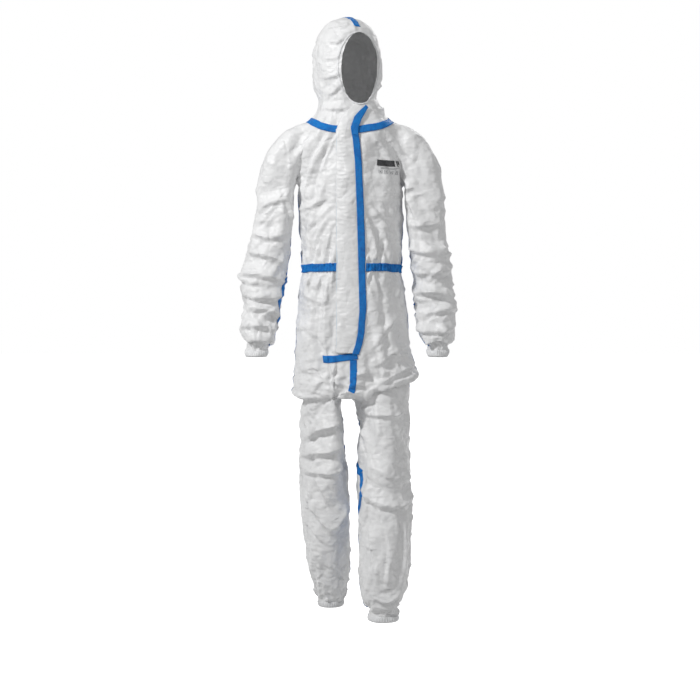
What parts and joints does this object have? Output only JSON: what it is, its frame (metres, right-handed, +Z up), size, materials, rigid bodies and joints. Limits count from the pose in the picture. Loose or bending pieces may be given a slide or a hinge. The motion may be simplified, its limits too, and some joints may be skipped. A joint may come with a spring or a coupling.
{
  "type": "chemical protective suit",
  "caption": "Hooded one-piece protective coverall, worn shape, with storm flap over a front zip, taped seams, elastic waist, cuffs and ankles.",
  "frame": {"origin": "centre of the neck, level with the collar seam at its sides, where the wearer carries the suit", "axes": "+Z up along the wearer's height, +X to the wearer's left, -Y to the front"},
  "size_m": [0.6081, 0.3038, 1.6953],
  "materials": {
    "coverall_fabric": "satin white microporous film on nonwoven, finely creased",
    "seam_tape": "blue heat-sealed tape, semi-gloss",
    "elastic_band": "white fabric gathered on elastic",
    "zip_coil": "white woven tape with nylon coil",
    "zip_metal": "plain metal",
    "liner_paper": "release liner on adhesive strip",
    "label_print": "black print on white"
  },
  "bodies": {
    "torso": {"zip_tape_left": "zip_coil", "zip_tape_right": "zip_coil", "zip_bottom_stop": "zip_metal", "flap_edge_tape": "seam_tape", "adhesive_strip": "liner_paper", "front_panel_left": "coverall_fabric", "back_panel_left": "coverall_fabric", "front_panel_right": "coverall_fabric", "back_panel_right": "coverall_fabric", "crotch_gusset": "coverall_fabric", "side_tape_left": "seam_tape", "side_tape_right": "seam_tape", "collar_tape": "seam_tape", "centre_back_tape": "seam_tape", "waist_tape_front_left": "seam_tape", "waist_tape_back_left": "seam_tape", "waist_tape_front_right": "seam_tape", "waist_tape_back_right": "seam_tape", "chest_label": "label_print", "neck_fold": "coverall_fabric", "chin_flap": "coverall_fabric", "flap_end_tape": "seam_tape", "centre_front_tape": "seam_tape", "shoulder_fold_left": "coverall_fabric", "hip_fold_left": "coverall_fabric", "shoulder_fold_right": "coverall_fabric", "hip_fold_right": "coverall_fabric"},
    "hood": {"hood_panel_left": "coverall_fabric", "hood_panel_right": "coverall_fabric", "face_elastic": "elastic_band", "hood_seam_tape": "seam_tape"},
    "storm_flap": {"storm_flap": "coverall_fabric"},
    "zip_slider": {"zip_slider": "zip_metal"},
    "zip_puller": {"zip_puller": "zip_metal"},
    "upper_sleeve_left": {"upper_sleeve_left": "coverall_fabric", "underarm_tape_upper_left": "seam_tape", "elbow_fold_left": "coverall_fabric"},
    "lower_sleeve_left": {"lower_sleeve_left": "coverall_fabric", "cuff_elastic_left": "elastic_band", "underarm_tape_lower_left": "seam_tape"},
    "thigh_left": {"thigh_left": "coverall_fabric", "inseam_tape_upper_left": "seam_tape", "knee_fold_left": "coverall_fabric"},
    "shin_left": {"shin_left": "coverall_fabric", "ankle_elastic_left": "elastic_band", "inseam_tape_lower_left": "seam_tape"},
    "upper_sleeve_right": {"upper_sleeve_right": "coverall_fabric", "underarm_tape_upper_right": "seam_tape", "elbow_fold_right": "coverall_fabric"},
    "lower_sleeve_right": {"lower_sleeve_right": "coverall_fabric", "cuff_elastic_right": "elastic_band", "underarm_tape_lower_right": "seam_tape"},
    "thigh_right": {"thigh_right": "coverall_fabric", "inseam_tape_upper_right": "seam_tape", "knee_fold_right": "coverall_fabric"},
    "shin_right": {"shin_right": "coverall_fabric", "ankle_elastic_right": "elastic_band", "inseam_tape_lower_right": "seam_tape"}
  },
  "joints": [
    {"name": "hood_turn", "type": "hinge", "parent": "torso", "child": "hood", "pos_m": [0, 0, 0.042], "axis": [0, 0, 1], "range_deg": [-56, 30], "deforming": ["neck_fold", "chin_flap"]},
    {"name": "storm_flap_open", "type": "hinge", "parent": "torso", "child": "storm_flap", "pos_m": [0.0202, -0.091, 0], "axis": [0, 0.0386, 0.9993], "range_deg": [0, 150]},
    {"name": "zip_slide", "type": "slide", "parent": "torso", "child": "zip_slider", "axis": [0, -0.0386, -0.9993], "range_m": [0, 0.572]},
    {"name": "puller_swing", "type": "hinge", "parent": "zip_slider", "child": "zip_puller", "pos_m": [0, -0.09005, -0.0438], "axis": [0, -0.9993, 0.0386], "range_deg": [-20, 20]},
    {"name": "shoulder_left", "type": "hinge", "parent": "torso", "child": "upper_sleeve_left", "pos_m": [0.19, 0, -0.075], "axis": [0, -1, 0], "range_deg": [0, 60], "deforming": ["shoulder_fold_left"]},
    {"name": "elbow_left", "type": "hinge", "parent": "upper_sleeve_left", "child": "lower_sleeve_left", "pos_m": [0.2345, -0.0016, -0.43], "axis": [-1, 0, 0], "range_deg": [0, 55], "deforming": ["elbow_fold_left"]},
    {"name": "hip_left", "type": "hinge", "parent": "torso", "child": "thigh_left", "pos_m": [0.0955, -0.0062, -0.816], "axis": [-1, 0, 0], "range_deg": [-15, 35], "deforming": ["hip_fold_left"]},
    {"name": "knee_left", "type": "hinge", "parent": "thigh_left", "child": "shin_left", "pos_m": [0.0955, -0.0542, -1.126], "axis": [1, 0, 0], "range_deg": [0, 50], "deforming": ["knee_fold_left"]},
    {"name": "shoulder_right", "type": "hinge", "parent": "torso", "child": "upper_sleeve_right", "pos_m": [-0.19, 0, -0.075], "axis": [0, 1, 0], "range_deg": [0, 60], "deforming": ["shoulder_fold_right"]},
    {"name": "elbow_right", "type": "hinge", "parent": "upper_sleeve_right", "child": "lower_sleeve_right", "pos_m": [-0.2443, -0.0016, -0.43], "axis": [-1, 0, 0], "range_deg": [0, 55], "deforming": ["elbow_fold_right"]},
    {"name": "hip_right", "type": "hinge", "parent": "torso", "child": "thigh_right", "pos_m": [-0.0775, 0.0062, -0.816], "axis": [-1, 0, 0], "range_deg": [-15, 35], "deforming": ["hip_fold_right"]},
    {"name": "knee_right", "type": "hinge", "parent": "thigh_right", "child": "shin_right", "pos_m": [-0.0775, 0.0542, -1.126], "axis": [1, 0, 0], "range_deg": [0, 50], "deforming": ["knee_fold_right"]}
  ]
}
